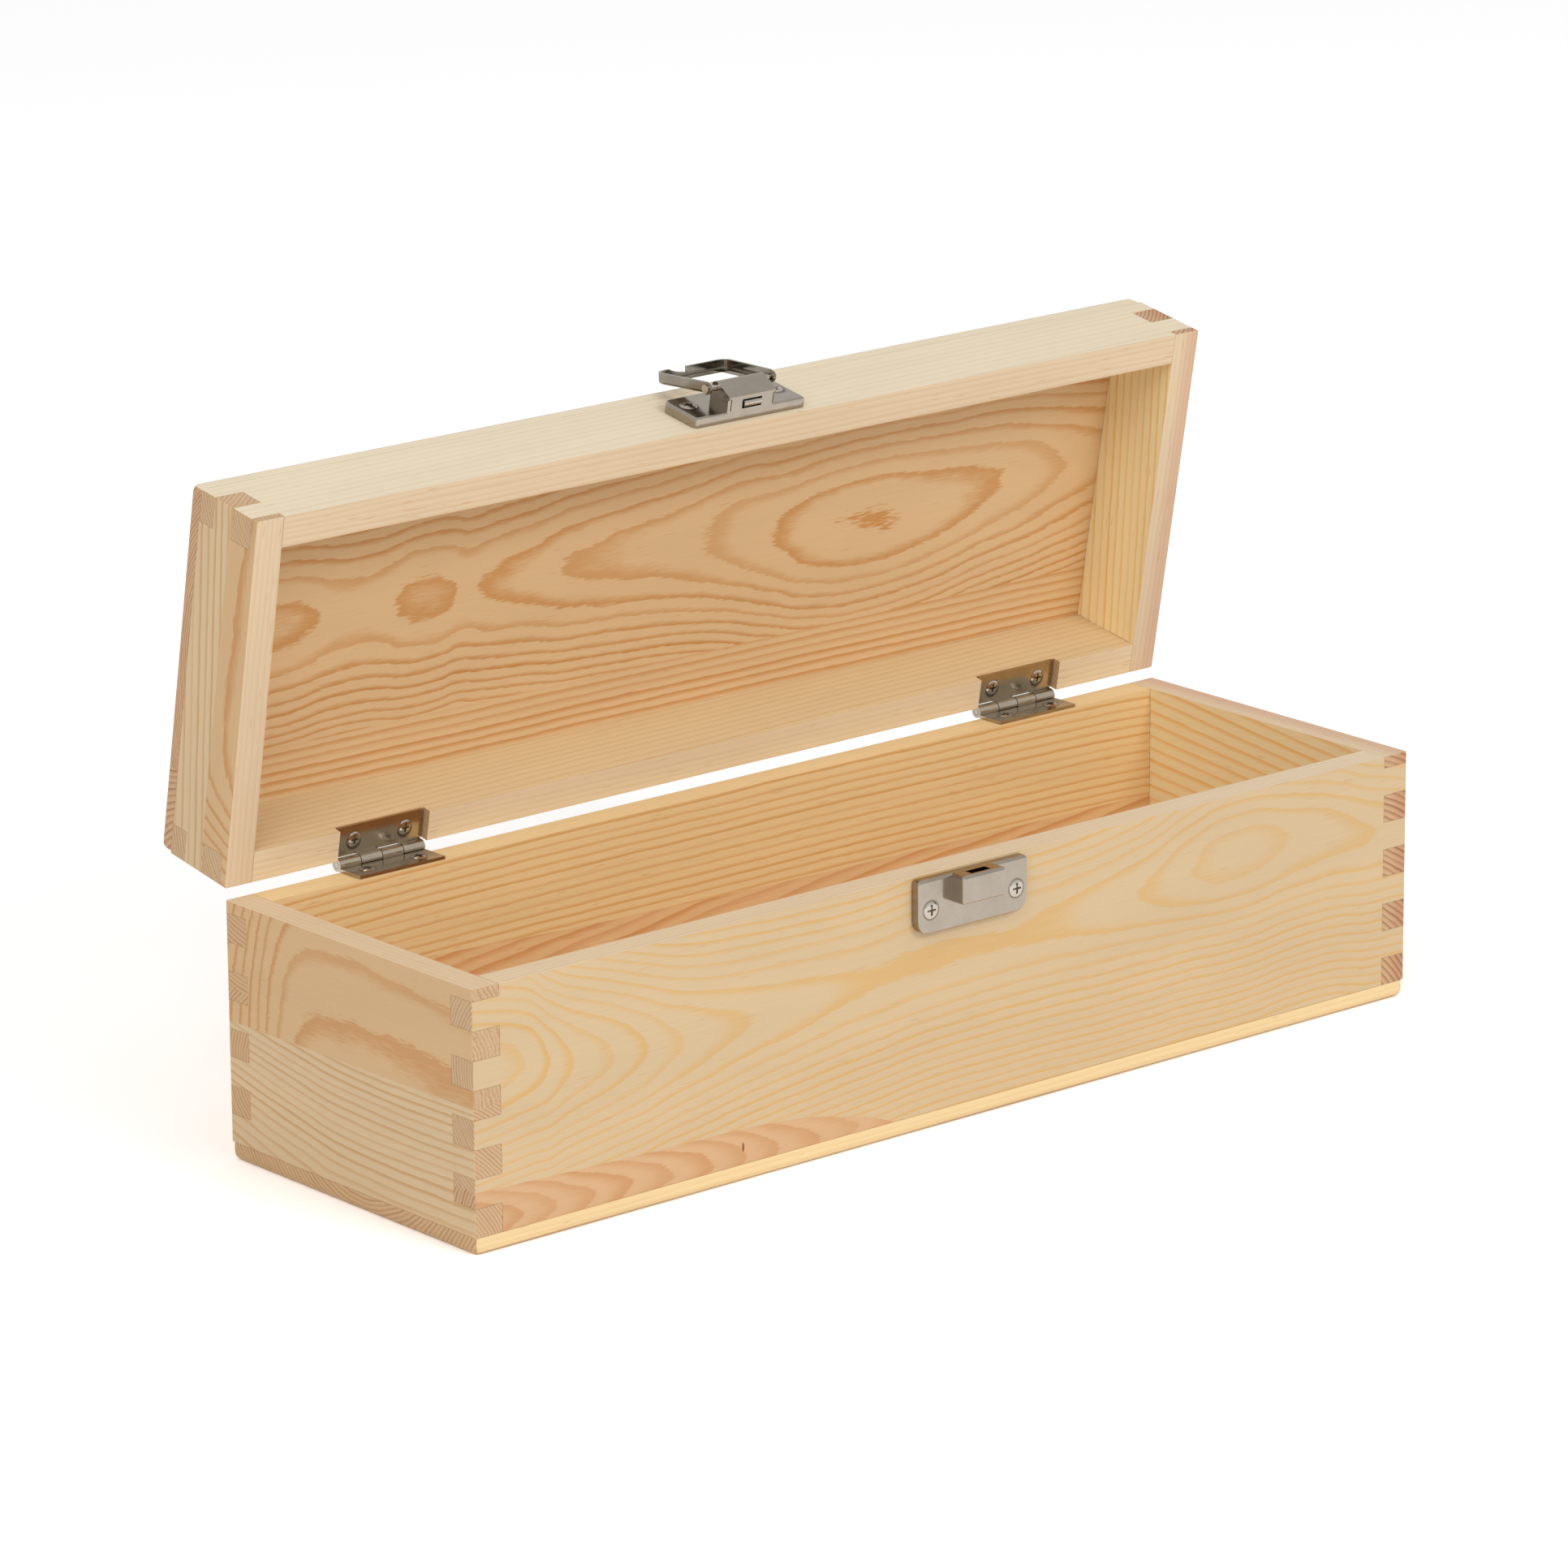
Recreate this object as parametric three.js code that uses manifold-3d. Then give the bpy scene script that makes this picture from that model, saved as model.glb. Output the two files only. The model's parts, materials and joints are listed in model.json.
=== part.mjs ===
// Slim pine box with a hinged lid, two butt hinges and a snap latch, shown with its lid standing open.
// Millimetres, +Z up, +X along the box. The origin is the centre of the underside. The front is at -Y.
import * as THREE from "three";
import { mergeVertices } from "three/addons/utils/BufferGeometryUtils.js";
import Module from "manifold-3d";

// Case
const boxLength = 350;
const boxDepth = 110;
const bodyHeight = 75.2;
const lidHeight = 30.5;
const rimGap = 0.4; // between the closed lid and the body
const wall = 9.2;
const bottomThickness = 5;
const panelThickness = 5;
const outerEdgeRound = 2; // bottom board and lid panel
const cornerEase = 0.6; // upright corner edges of the walls
const fingerWidth = 8.35;
const sawKerf = 2.5; // lost where the glued case was sawn into body and lid
const jointGap = 0.1;
const lidOpenAngle = 79.8;

// Butt hinges
const hingeWidth = 30;
const hingeSpacing = 240;
const hingeSetback = 1.8; // pin axis behind the back face
const leafThickness = 0.9;
const leafReach = wall + hingeSetback; // from the pin axis to the wall's inner face
const leafSpacing = 1.5; // between the two leaves when closed
const barrelRadius = 1.9;
const knuckleCount = 4;
const knuckleGap = 0.25;
const hingePinRadius = 0.9;
const mortiseSideGap = 0.8;

// Latch
const latchOffset = 1.5; // to the right of the middle
const sheet = 0.9;
const latchPlate = { width: 41, depth: 15.8, height: 3, nearCorner: 1.2, farCorner: 3.2 };
const strikerPlate = { width: 41, depth: 16, height: 3, nearCorner: 1.2, farCorner: 4 };
const housing = { width: 17.4, depth: 8.8, height: 7.9 };
const boss = { width: 16, depth: 8.3, height: 7.7 };
const latchPlateRise = 2; // latch plate above the lid's rim
const strikerDrop = 0.6; // striker plate below the body's rim
const bendRound = 0.8;
const latchPivotDepth = 6.4; // from the latch plate's near edge
const latchPivotHeight = 8.5; // above the wood
const leverWidth = 24.6; // at the pivot
const leverFlare = 1.2; // each arm leans out by this much at the crossbar
const leverLength = 22.2; // from the pivot to the end of the crossbar
const leverFace = 1.3; // outer face beyond the pivot axis
const leverFlange = 3.3; // outer face to the flange's free edge
const armWidth = 3.2;
const crossbarWidth = 2.6;
const leverLobe = 1.75;
const leverOpenAngle = 192; // from parallel to the plate, closed, to folded back
const leverCorner = 3.4;
const armOverlap = 1.7; // the arms run this far into the round lobes at the pivot
const thumbNotch = { start: 5.1, bend: 7.5, end: 10.8, startDepth: 0.2, bendDepth: 1.1, endDepth: 1.7 };
const latchRollRadius = 1.7;
const latchPinRadius = 0.8;
const latchPinHeadRadius = 1.28;
const slitWidth = 0.3; // beside the housing's flap
const innerBend = 0.225; // inside a folded sheet
const tongue = { width: 6.4, outerFace: 5.8, innerFace: 3.8, thickness: 0.7, tip: -0.7, tail: 7.2, lip: 2.2 };

// Screws
const screwTipCover = 1.2; // wood left beyond a latch screw's point
const screwPoint = 1.8;
const hingeScrew = { head: 2.3, shank: 1.2, cone: 1.1, length: 8 };
const latchScrew = { head: 2.6, shank: 1.2, cone: 1.4, length: latchPlate.height + wall - screwTipCover };
const hingeScrewSpacing = 18;
const latchScrewSpacing = 32;
const hingeScrewReach = 6.5; // from the pin axis
const latchScrewDepth = 9; // from the plate's near edge
const crossRecess = { width: 0.6, depth: 0.8, share: 0.6 };
const headRise = 0.45; // dome of a screw's head above its rim

// Fits
const seatGap = 0.1;
const holeGap = 0.1;
const slotGap = 0.4;
const past = 1; // a cutter runs this far past what it cuts
const roundSteps = 24;
const screwSteps = 16;
const cornerSteps = 4;
const edgeSteps = 3;
const leastRadius = 0.05;
const domeRings = [
  [0.8, 0.45],
  [0.45, 0.85],
]; // shares of a head's radius and of its rise

const bodyRim = bodyHeight;
const lidRim = bodyHeight + rimGap;
const lidTop = lidRim + lidHeight;
const front = -boxDepth / 2;
const back = boxDepth / 2;
const acrossBox = [-boxLength / 2, boxLength / 2];
const hingeAxis = { y: back + hingeSetback, z: bodyRim + leafThickness + leafSpacing / 2 + seatGap };

const pine = new THREE.MeshStandardMaterial({ color: 0xe3c79c, roughness: 0.6, metalness: 0 });
const nickel = new THREE.MeshStandardMaterial({ color: 0xb9b4ac, roughness: 0.2, metalness: 1 });
const steel = new THREE.MeshStandardMaterial({ color: 0xa8a39b, roughness: 0.35, metalness: 1 });

const wasm = await Module();
wasm.setup();

function solid(geometry) {
  const bare = new THREE.BufferGeometry();
  bare.setAttribute("position", geometry.getAttribute("position"));
  bare.setIndex(geometry.index);
  const merged = mergeVertices(bare, 1e-4);
  return new wasm.Manifold(
    new wasm.Mesh({
      numProp: 3,
      vertProperties: new Float32Array(merged.attributes.position.array),
      triVerts: new Uint32Array(merged.index.array),
    }),
  );
}

function mesh(name, shape, material) {
  const { numProp, vertProperties, triVerts } = shape.getMesh();
  const points = [];
  for (let i = 0; i < vertProperties.length; i += numProp) {
    points.push(vertProperties[i], vertProperties[i + 1], vertProperties[i + 2]);
  }
  const geometry = new THREE.BufferGeometry();
  geometry.setAttribute("position", new THREE.Float32BufferAttribute(points, 3));
  geometry.setIndex([...triVerts]);
  geometry.computeVertexNormals();
  const made = new THREE.Mesh(geometry, material);
  made.name = name;
  return made;
}

const join = (shapes) => shapes.reduce((all, next) => all.add(next));
const cut = (shape, cutters) => cutters.reduce((left, cutter) => left.subtract(cutter), shape);

function block([x0, x1], [y0, y1], [z0, z1]) {
  const geometry = new THREE.BoxGeometry(x1 - x0, y1 - y0, z1 - z0);
  geometry.translate((x0 + x1) / 2, (y0 + y1) / 2, (z0 + z1) / 2);
  return solid(geometry);
}

// A cylinder along X from x0 to x1.
function rod(radius, x0, x1, y = 0, z = 0, steps = roundSteps) {
  const geometry = new THREE.CylinderGeometry(radius, radius, x1 - x0, steps);
  geometry.rotateZ(Math.PI / 2);
  geometry.translate((x0 + x1) / 2, y, z);
  return solid(geometry);
}

// The points of a rectangle whose corners have one radius at low Y and another at high Y.
function roundedOutline([x0, x1], [y0, y1], lowRadius, highRadius, z) {
  const corners = [
    [x1 - lowRadius, y0 + lowRadius, lowRadius],
    [x1 - highRadius, y1 - highRadius, highRadius],
    [x0 + highRadius, y1 - highRadius, highRadius],
    [x0 + lowRadius, y0 + lowRadius, lowRadius],
  ];
  return corners.flatMap(([x, y, radius], quarter) =>
    Array.from({ length: cornerSteps + 1 }, (_, k) => {
      const angle = (quarter - 1 + k / cornerSteps) * (Math.PI / 2);
      return [x + radius * Math.cos(angle), y + radius * Math.sin(angle), z];
    }),
  );
}

// A slab from low to high with rounded corners, its outer edge at the high end rounded too.
function roundedSlab([x0, x1], [y0, y1], [lowRadius, highRadius], [low, high], round) {
  const layer = (inset, z) =>
    roundedOutline(
      [x0 + inset, x1 - inset],
      [y0 + inset, y1 - inset],
      Math.max(lowRadius - inset, leastRadius),
      Math.max(highRadius - inset, leastRadius),
      z,
    );
  const layers = [layer(0, low)];
  for (let k = 0; k <= edgeSteps; k++) {
    const angle = (k / edgeSteps) * (Math.PI / 2);
    layers.push(layer(round * (1 - Math.cos(angle)), high - round + round * Math.sin(angle)));
  }
  const count = layers[0].length;
  const middle = [(x0 + x1) / 2, (y0 + y1) / 2];
  const points = [...layers.flat(), [...middle, low], [...middle, high]];
  const lowCentre = points.length - 2;
  const top = (layers.length - 1) * count;
  const faces = [];
  for (let i = 0; i < count; i++) {
    const next = (i + 1) % count;
    faces.push(lowCentre, next, i, lowCentre + 1, top + i, top + next);
    for (let k = 0; k < top; k += count) {
      faces.push(k + i, k + next, k + count + next, k + i, k + count + next, k + count + i);
    }
  }
  const geometry = new THREE.BufferGeometry();
  geometry.setAttribute("position", new THREE.Float32BufferAttribute(points.flat(), 3));
  geometry.setIndex(faces);
  return solid(geometry);
}

// ---------------------------------------------------------------- case

// Heights of one board's fingers. The pattern starts on the bottom board and runs on through the lid;
// shift is where this board's stretch of it begins.
function fingerSpans(parity, low, high, shift) {
  const spans = [];
  const last = Math.ceil((high + shift - bottomThickness) / fingerWidth);
  for (let k = parity; k <= last; k += 2) {
    const from = bottomThickness + k * fingerWidth - shift + jointGap / 2;
    const to = from + fingerWidth - jointGap;
    const span = [Math.max(from, low), Math.min(to, high)];
    if (span[1] - span[0] > jointGap) spans.push(span);
  }
  return spans;
}

// Eases the upright corner edges of a wall.
function eased(shape) {
  const corners = [cornerEase, cornerEase];
  return shape.intersect(roundedSlab(acrossBox, [front, back], corners, [-past, lidTop + past], leastRadius));
}

// Walls stand between low and high; shift carries the finger pattern over the saw cut.
function longWall(side, low, high, shift) {
  const y = side < 0 ? [front, front + wall] : [back - wall, back];
  const reach = boxLength / 2 - wall - jointGap;
  const fingers = fingerSpans(1, low, high, shift).map((span) => block(acrossBox, y, span));
  return eased(join([block([-reach, reach], y, [low, high]), ...fingers]));
}

function endWall(side, low, high, shift) {
  const outer = (side * boxLength) / 2;
  const x = side < 0 ? [outer, outer + wall] : [outer - wall, outer];
  const reach = boxDepth / 2 - wall - jointGap;
  const fingers = fingerSpans(0, low, high, shift).map((span) => block(x, [front, back], span));
  return eased(join([block(x, [-reach, reach], [low, high]), ...fingers]));
}

// A board of the full footprint, its outer edges rounded at the top.
function fullBoard(thickness) {
  const radii = [outerEdgeRound, outerEdgeRound];
  return roundedSlab(acrossBox, [front, back], radii, [0, thickness], outerEdgeRound);
}

// ---------------------------------------------------------------- screws

// A raised countersunk wood screw along Z with its head's rim at z = 0. Grown by grow, it is its own hole.
function screwBody({ head, shank, cone, length }, grow = 0) {
  const dome = domeRings.map(([share, rise]) => [head * share, headRise * rise]);
  const rim = grow ? [[head + grow, grow]] : dome;
  const profile = [
    [0, -length - grow],
    [shank + grow, -length + screwPoint - grow],
    [shank + grow, -cone],
    [head + grow, 0],
    ...rim,
    [0, grow || headRise],
  ].map(([radius, z]) => new THREE.Vector2(radius, z));
  const geometry = new THREE.LatheGeometry(profile, screwSteps);
  geometry.rotateX(Math.PI / 2);
  return solid(geometry);
}

function screw(size) {
  const arm = size.head * crossRecess.share;
  const across = [-crossRecess.width / 2, crossRecess.width / 2];
  const z = [-crossRecess.depth, past];
  return cut(screwBody(size), [block([-arm, arm], across, z), block(across, [-arm, arm], z)]);
}

// ---------------------------------------------------------------- hinges

const knucklePitch = hingeWidth / knuckleCount;
const leafMortise = [-hingeWidth / 2 - mortiseSideGap, hingeWidth / 2 + mortiseSideGap];
const hingeScrewX = [-hingeScrewSpacing / 2, hingeScrewSpacing / 2];

// One leaf about the pin axis, lying towards -Y. side is -1 below the axis and 1 above it,
// and its knuckles are the even or the odd ones from the left.
function hingeLeaf(side, parity) {
  const outer = leafSpacing / 2 + leafThickness;
  const z = side < 0 ? [-outer, -leafSpacing / 2] : [leafSpacing / 2, outer];
  const parts = [block([-hingeWidth / 2, hingeWidth / 2], [-leafReach, 0], z)];
  const cutters = [rod(hingePinRadius + holeGap, -hingeWidth, hingeWidth)];
  for (let k = 0; k < knuckleCount; k++) {
    if (k % 2 === parity) parts.push(rod(barrelRadius, ...knuckleSpan(k, -knuckleGap / 2)));
    else cutters.push(rod(barrelRadius + knuckleGap, ...knuckleSpan(k, knuckleGap / 2)));
  }
  const holes = hingeScrewX.map((x) => placedHingeScrew(x, side, screwBody(hingeScrew, holeGap)));
  return cut(join(parts), [...cutters, ...holes]);
}

// Where knuckle k lies along X, grown at the ends that meet another knuckle.
function knuckleSpan(k, grow) {
  const start = k * knucklePitch - hingeWidth / 2;
  return [start - (k ? grow : 0), start + knucklePitch + (k < knuckleCount - 1 ? grow : 0)];
}

// Heads sit in the leaf's inner face; the box's screws point down and the lid's point up.
function placedHingeScrew(x, side, shape) {
  const turned = side < 0 ? shape : shape.rotate([180, 0, 0]);
  return turned.translate([x, -hingeScrewReach, (side * leafSpacing) / 2]);
}

// ---------------------------------------------------------------- latch

// Latch pieces are made lying flat: X along the box, Y away from the seam, Z out from the wood.

function plateScrewHoles({ height }, grow) {
  return [-1, 1].map((side) =>
    screwBody(latchScrew, grow).translate([(side * latchScrewSpacing) / 2, latchScrewDepth, height]),
  );
}

// A sheet plate with folded edges and a box drawn up from it at the near edge, hollow behind.
function drawnPlate(plate, raised) {
  const { width, depth, height, nearCorner, farCorner } = plate;
  const half = width / 2;
  const halfRaised = raised.width / 2;
  const plateOuter = roundedSlab([-half, half], [0, depth], [nearCorner, farCorner], [0, height], bendRound);
  const raisedOuter = roundedSlab(
    [-halfRaised, halfRaised],
    [0, raised.depth],
    [bendRound, bendRound],
    [0, raised.height],
    bendRound,
  );
  const outer = plateOuter.add(raisedOuter);
  const plateHollow = roundedSlab(
    [-half + sheet, half - sheet],
    [sheet, depth - sheet],
    [nearCorner / 2, farCorner - sheet],
    [-sheet, height - sheet],
    innerBend,
  );
  const raisedHollow = block(
    [-halfRaised + sheet, halfRaised - sheet],
    [sheet, raised.depth - sheet],
    [-sheet, raised.height - sheet],
  );
  const hollow = plateHollow.add(raisedHollow);
  return cut(outer, [hollow, ...plateScrewHoles(plate, holeGap)]);
}

// The way through a near wall that the tongue slides in.
function tongueWindow() {
  const half = tongue.width / 2 + slotGap;
  const z = [tongue.innerFace - slotGap, tongue.outerFace + slotGap];
  return block([-half, half], [-past, sheet + past], z);
}

// The housing's front is a flap bent down from its top, so a slit parts it from each side.
function flapSlit(side) {
  const x = (side * housing.width) / 2 - side * sheet;
  const half = slitWidth / 2;
  const z = [latchPlate.height + half, housing.height - sheet - slitWidth];
  return block([x - half, x + half], [-past, sheet + past], z);
}

// The housing's roof rises from its front edge to the roll that holds the pin.
function latchBase() {
  const plate = drawnPlate(latchPlate, housing);
  const at = [latchPivotDepth, latchPivotHeight];
  const across = [-housing.width / 2, housing.width / 2];
  const roll = rod(latchRollRadius, ...across, ...at);
  const frontEdge = rod(bendRound, ...across, bendRound, housing.height - bendRound);
  const roof = wasm.Manifold.hull([roll, frontEdge]);
  const bore = rod(latchPinRadius + holeGap, -leverWidth, leverWidth, ...at);
  return cut(plate.add(roof), [bore, tongueWindow(), flapSlit(-1), flapSlit(1)]);
}

function striker() {
  return cut(drawnPlate(strikerPlate, boss), [tongueWindow()]);
}

// The lever about its pivot, closed: crossbar at -Y, outer face at +Z, flanges turned to the wood.
function latchLever() {
  const half = leverWidth / 2;
  const free = leverFace - leverFlange;
  const lobeEnd = leverLobe + past;
  const through = [free - past, leverFace + past];
  const armEnd = armOverlap - leverLobe;
  const corners = [leverCorner, leastRadius];
  const tray = roundedSlab([-half, half], [-leverLength, armEnd], corners, [free, leverFace], bendRound);
  const hollow = roundedSlab(
    [-half + sheet, half - sheet],
    [-leverLength + sheet, lobeEnd],
    [leverCorner - sheet, leastRadius],
    [free - past, leverFace - sheet],
    innerBend,
  );
  const betweenArms = [-half + armWidth, half - armWidth];
  const window = block(betweenArms, [-leverLength + crossbarWidth, lobeEnd], through);
  const lobes = [-1, 1].map((side) => {
    const edges = [side * half, side * (half - sheet)].sort((a, b) => a - b);
    return rod(leverLobe, ...edges);
  });
  const bore = rod(latchPinRadius + holeGap, -leverWidth, leverWidth);
  const lever = cut(join([cut(tray, [hollow, window]), ...lobes]), [bore, notchCutter(half, free)]);
  return lever.warp((point) => {
    point[0] *= 1 + (Math.max(0, -point[1]) / leverLength) * (leverFlare / half);
  });
}

// A sloping notch in the crossbar's flange, left of the middle.
function notchCutter(half, free) {
  const { start, bend, end, startDepth, bendDepth, endDepth } = thumbNotch;
  const outline = new THREE.Shape();
  outline.moveTo(start - half, free - past);
  outline.lineTo(start - half, free + startDepth);
  outline.lineTo(bend - half, free + bendDepth);
  outline.lineTo(end - half, free + endDepth);
  outline.lineTo(end - half, free - past);
  const geometry = new THREE.ExtrudeGeometry(outline, { depth: sheet + past, bevelEnabled: false });
  geometry.rotateX(Math.PI / 2);
  geometry.translate(0, -leverLength + sheet + past / 2, 0);
  return solid(geometry);
}

function latchPin() {
  const inside = leverWidth / 2 + holeGap;
  const end = inside + sheet / 2;
  const heads = [rod(latchPinHeadRadius, -end, -inside), rod(latchPinHeadRadius, inside, end)];
  return join([rod(latchPinRadius, -end, end), ...heads]);
}

// Turns an outline's X and Y into Y and Z, and its depth into X.
const outlineToSide = new THREE.Matrix4().set(0, 0, 1, 0, 1, 0, 0, 0, 0, 1, 0, 0, 0, 0, 0, 1);

// A strip curled under at its tip, so that it hooks behind the striker's slot.
function latchTongue() {
  const { width, outerFace, innerFace, thickness, tip, tail, lip } = tongue;
  const radius = (outerFace - innerFace) / 2;
  const middle = (outerFace + innerFace) / 2;
  const outline = new THREE.Shape();
  outline.moveTo(tail, outerFace);
  outline.absarc(tip + radius, middle, radius, Math.PI / 2, 1.5 * Math.PI);
  outline.lineTo(tip + radius + lip, innerFace);
  outline.lineTo(tip + radius + lip, innerFace + thickness);
  outline.absarc(tip + radius, middle, radius - thickness, 1.5 * Math.PI, Math.PI / 2, true);
  outline.lineTo(tail, outerFace - thickness);
  const how = { depth: width, bevelEnabled: false, curveSegments: edgeSteps * 3 };
  const geometry = new THREE.ExtrudeGeometry(outline, how);
  geometry.applyMatrix4(outlineToSide);
  geometry.translate(-width / 2, 0, 0);
  return solid(geometry);
}

// ---------------------------------------------------------------- assembly

const latchPlace = [latchOffset, front - seatGap, lidRim + latchPlateRise];
const strikerPlace = [latchOffset, front - seatGap, bodyRim - strikerDrop];
const flatToLid = (shape) => shape.rotate([90, 0, 0]).translate(latchPlace);
const flatToBody = (shape) => shape.rotate([0, 0, 180]).rotate([90, 0, 0]).translate(strikerPlace);
const hingeX = [-hingeSpacing / 2, hingeSpacing / 2];
const sideNames = ["left", "right"];

function group(parts, place = {}) {
  const made = new THREE.Group();
  parts.forEach((part) => made.add(part));
  made.position.set(...(place.position ?? [0, 0, 0]));
  made.rotation.set(...(place.rotation ?? [0, 0, 0]));
  return made;
}

function bodyBoards() {
  const low = bottomThickness + jointGap;
  const backScrews = hingeX.flatMap((x) =>
    hingeScrewX.map((dx) =>
      placedHingeScrew(dx, -1, screwBody(hingeScrew, holeGap)).translate([x, hingeAxis.y, hingeAxis.z]),
    ),
  );
  const frontScrews = plateScrewHoles(strikerPlate, holeGap).map(flatToBody);
  const bottom = fullBoard(bottomThickness).rotate([180, 0, 0]).translate([0, 0, bottomThickness]);
  return [
    mesh("front_wall", cut(longWall(-1, low, bodyRim, 0), frontScrews), pine),
    mesh("back_wall", cut(longWall(1, low, bodyRim, 0), backScrews), pine),
    mesh("left_end_wall", endWall(-1, low, bodyRim, 0), pine),
    mesh("right_end_wall", endWall(1, low, bodyRim, 0), pine),
    mesh("bottom_board", bottom, pine),
  ];
}

function lidBoards() {
  const high = lidTop - panelThickness - jointGap;
  const shift = sawKerf - rimGap;
  const throughBack = [back - wall - past, back + past];
  const leafSeat = hingeAxis.z + leafSpacing / 2 + leafThickness + seatGap;
  const hingeCuts = hingeX.flatMap((x) => [
    block([x + leafMortise[0], x + leafMortise[1]], throughBack, [lidRim - past, leafSeat]),
    ...hingeScrewX.map((dx) =>
      placedHingeScrew(dx, 1, screwBody(hingeScrew, holeGap)).translate([x, hingeAxis.y, hingeAxis.z]),
    ),
  ]);
  const frontScrews = plateScrewHoles(latchPlate, holeGap).map(flatToLid);
  return [
    mesh("lid_front_wall", cut(longWall(-1, lidRim, high, shift), frontScrews), pine),
    mesh("lid_back_wall", cut(longWall(1, lidRim, high, shift), hingeCuts), pine),
    mesh("lid_left_end_wall", endWall(-1, lidRim, high, shift), pine),
    mesh("lid_right_end_wall", endWall(1, lidRim, high, shift), pine),
    mesh("lid_panel", fullBoard(panelThickness).translate([0, 0, lidTop - panelThickness]), pine),
  ];
}

// The half of a hinge that is fixed to the body or to the lid, with its two screws.
function hingeHalf(i, side) {
  const owner = side < 0 ? "box" : "lid";
  const parts = [mesh(`${sideNames[i]}_hinge_${owner}_leaf`, hingeLeaf(side, side < 0 ? 0 : 1), nickel)];
  hingeScrewX.forEach((x, k) => {
    const name = `${sideNames[i]}_hinge_${owner}_screw_${k + 1}`;
    parts.push(mesh(name, placedHingeScrew(x, side, screw(hingeScrew)), steel));
  });
  return group(parts, { position: [hingeX[i], hingeAxis.y, hingeAxis.z] });
}

function hingePin(i) {
  const pin = mesh(`${sideNames[i]}_hinge_pin`, rod(hingePinRadius, -hingeWidth / 2, hingeWidth / 2), steel);
  return group([pin], { position: [hingeX[i], hingeAxis.y, hingeAxis.z] });
}

function plateScrews(owner, { height }) {
  return [-1, 1].map((side, k) => {
    const name = `${owner}_screw_${k + 1}`;
    return group([mesh(name, screw(latchScrew), steel)], {
      position: [(side * latchScrewSpacing) / 2, latchScrewDepth, height],
    });
  });
}

function strikerGroup() {
  return group([mesh("striker_plate", striker(), nickel), ...plateScrews("striker", strikerPlate)], {
    position: strikerPlace,
    rotation: [Math.PI / 2, 0, Math.PI],
  });
}

function latchGroup() {
  const lever = group([mesh("latch_lever", latchLever(), nickel)], {
    position: [0, latchPivotDepth, latchPivotHeight],
    rotation: [-THREE.MathUtils.degToRad(leverOpenAngle), 0, 0],
  });
  const pin = group([mesh("latch_pivot_pin", latchPin(), steel)], {
    position: [0, latchPivotDepth, latchPivotHeight],
  });
  return group(
    [
      mesh("latch_base_plate", latchBase(), nickel),
      mesh("latch_tongue", latchTongue(), steel),
      lever,
      pin,
      ...plateScrews("latch", latchPlate),
    ],
    { position: latchPlace, rotation: [Math.PI / 2, 0, 0] },
  );
}

const lowerHinges = [hingeHalf(0, -1), hingeHalf(1, -1), hingePin(0), hingePin(1)];
const body = group([...bodyBoards(), ...lowerHinges, strikerGroup()]);
const closedLid = group([...lidBoards(), hingeHalf(0, 1), hingeHalf(1, 1), latchGroup()], {
  position: [0, -hingeAxis.y, -hingeAxis.z],
});
const lid = group([closedLid], {
  position: [0, hingeAxis.y, hingeAxis.z],
  rotation: [-THREE.MathUtils.degToRad(lidOpenAngle), 0, 0],
});

export default group([body, lid]);
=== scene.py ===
"""Looks for the slim pine box: pine boards, nickel-plated hinges and latch, on a pale studio floor.

The frame is in metres. Wood figure is written in millimetres along each board.
"""

import json
import math

import bpy
from mathutils import Euler, Matrix, Vector


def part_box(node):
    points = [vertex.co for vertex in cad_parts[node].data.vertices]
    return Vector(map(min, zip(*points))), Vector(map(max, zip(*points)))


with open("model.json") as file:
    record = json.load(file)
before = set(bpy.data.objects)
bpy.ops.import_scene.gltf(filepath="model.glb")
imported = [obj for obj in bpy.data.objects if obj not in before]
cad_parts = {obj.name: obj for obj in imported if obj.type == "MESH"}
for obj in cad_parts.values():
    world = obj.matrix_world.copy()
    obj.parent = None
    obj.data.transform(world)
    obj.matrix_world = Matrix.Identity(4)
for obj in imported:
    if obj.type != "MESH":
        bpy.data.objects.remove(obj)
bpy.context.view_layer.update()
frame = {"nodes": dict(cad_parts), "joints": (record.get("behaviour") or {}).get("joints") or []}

MM = 0.001


def in_mm(corner):
    return Vector(corner) / MM


# Places that the boards' figure is measured from.
body_low, body_high = (in_mm(c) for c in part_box("bottom_board"))
front_low, front_high = (in_mm(c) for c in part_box("front_wall"))
LENGTH = body_high.x - body_low.x
DEPTH = body_high.y - body_low.y
LEFT = body_low.x
FRONT = body_low.y
FLOOR_TOP = body_high.z
WALL = front_high.y - front_low.y

lid_joint = next(j for j in frame["joints"] if j["child"] == "lid")
HINGE = Vector(lid_joint["pos_m"]) / MM
LID_OPEN = -math.radians(lid_joint["range_deg"][0])
TO_CLOSED = Matrix.Rotation(LID_OPEN, 3, "X")
TO_OPEN = Matrix.Rotation(-LID_OPEN, 3, "X")
panel_corners = frame["nodes"]["lid_panel"].data.vertices
closed_corners = [TO_CLOSED @ (in_mm(corner.co) - HINGE) + HINGE for corner in panel_corners]
PANEL_INSIDE = min(corner.z for corner in closed_corners)


# ---------------------------------------------------------------- shader building


def linear(red, green, blue):
    """An sRGB colour, 0 to 255, as the linear colour that shaders take."""
    levels = (c / 255 for c in (red, green, blue))
    return tuple(c / 12.92 if c <= 0.04045 else ((c + 0.055) / 1.055) ** 2.4 for c in levels) + (1.0,)


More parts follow.
